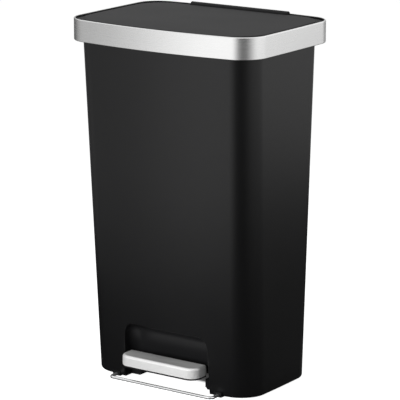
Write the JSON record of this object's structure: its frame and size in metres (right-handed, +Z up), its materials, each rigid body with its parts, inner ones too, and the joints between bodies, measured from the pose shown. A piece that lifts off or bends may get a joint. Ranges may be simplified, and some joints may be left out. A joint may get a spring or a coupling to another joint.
{
  "type": "pedal trash can",
  "caption": "Slim pedal trash can: tapered black body with toe recess, steel-banded rim, inset hinged lid, steel-capped pedal, push rod and chrome floor wire.",
  "frame": {"origin": "centre of the can's footprint box, on the floor", "axes": "+Z up, -Y towards the pedal and the user, +X to the right as seen from behind the can"},
  "size_m": [0.3986, 0.286, 0.655],
  "materials": {
    "black_plastic": "fine satin moulded black",
    "charcoal_plastic": "fine satin moulded charcoal",
    "brushed_steel": "brushed stainless sheet, brushed lengthwise",
    "chrome_wire": "bright plated wire",
    "zinc_steel": "bright zinc plate",
    "black_steel": "black coated pressed steel",
    "rubber": "soft matte",
    "natural_nylon": "natural nylon"
  },
  "bodies": {
    "can": {"body_shell": "black_plastic", "base_frame": "black_plastic", "base_screws": "zinc_steel", "rubber_feet": "rubber", "stabiliser_wire": "chrome_wire", "wire_clamps": "black_plastic", "pedal_axle": "zinc_steel", "axle_clips": "zinc_steel", "rod_guides": "natural_nylon", "rod_cover": "black_plastic", "rod_cover_screws": "zinc_steel", "rim_collar": "black_plastic", "rim_band": "brushed_steel", "collar_screws": "zinc_steel", "lid_bumpers": "rubber", "hinge_bracket": "black_plastic", "hinge_bracket_screws": "zinc_steel", "hinge_pin": "zinc_steel"},
    "lid": {"lid_panel": "charcoal_plastic", "lid_liner": "black_plastic", "lid_hinge": "black_plastic", "lid_screws": "zinc_steel", "crank_pin": "zinc_steel"},
    "pedal": {"pedal_bracket": "black_steel", "lever_arm": "black_steel", "lever_rivets": "zinc_steel", "pedal_bushes": "natural_nylon", "tread_carrier": "black_plastic", "tread_cap": "brushed_steel", "tread_screws": "zinc_steel"},
    "rod": {"push_rod": "zinc_steel", "rod_head": "natural_nylon", "rod_foot_pin": "zinc_steel"}
  },
  "joints": [
    {"name": "lid_swing", "type": "hinge", "parent": "can", "child": "lid", "pos_m": [0, 0.13057, 0.649], "axis": [-1, 0, 0], "range_deg": [0, 75]},
    {"name": "pedal_press", "type": "hinge", "parent": "can", "child": "pedal", "pos_m": [0, -0.01895, 0.034], "axis": [1, 0, 0], "range_deg": [0, 12.07]},
    {"name": "rod_lift", "type": "slide", "parent": "can", "child": "rod", "axis": [0, 0.0212, 0.9998], "range_m": [0, 0.02493]}
  ],
  "couplings": [
    {"joint": "pedal_press", "follows": "lid_swing", "ratio": 0.1609},
    {"joint": "rod_lift", "follows": "lid_swing", "m_per_rad": 0.019047}
  ]
}
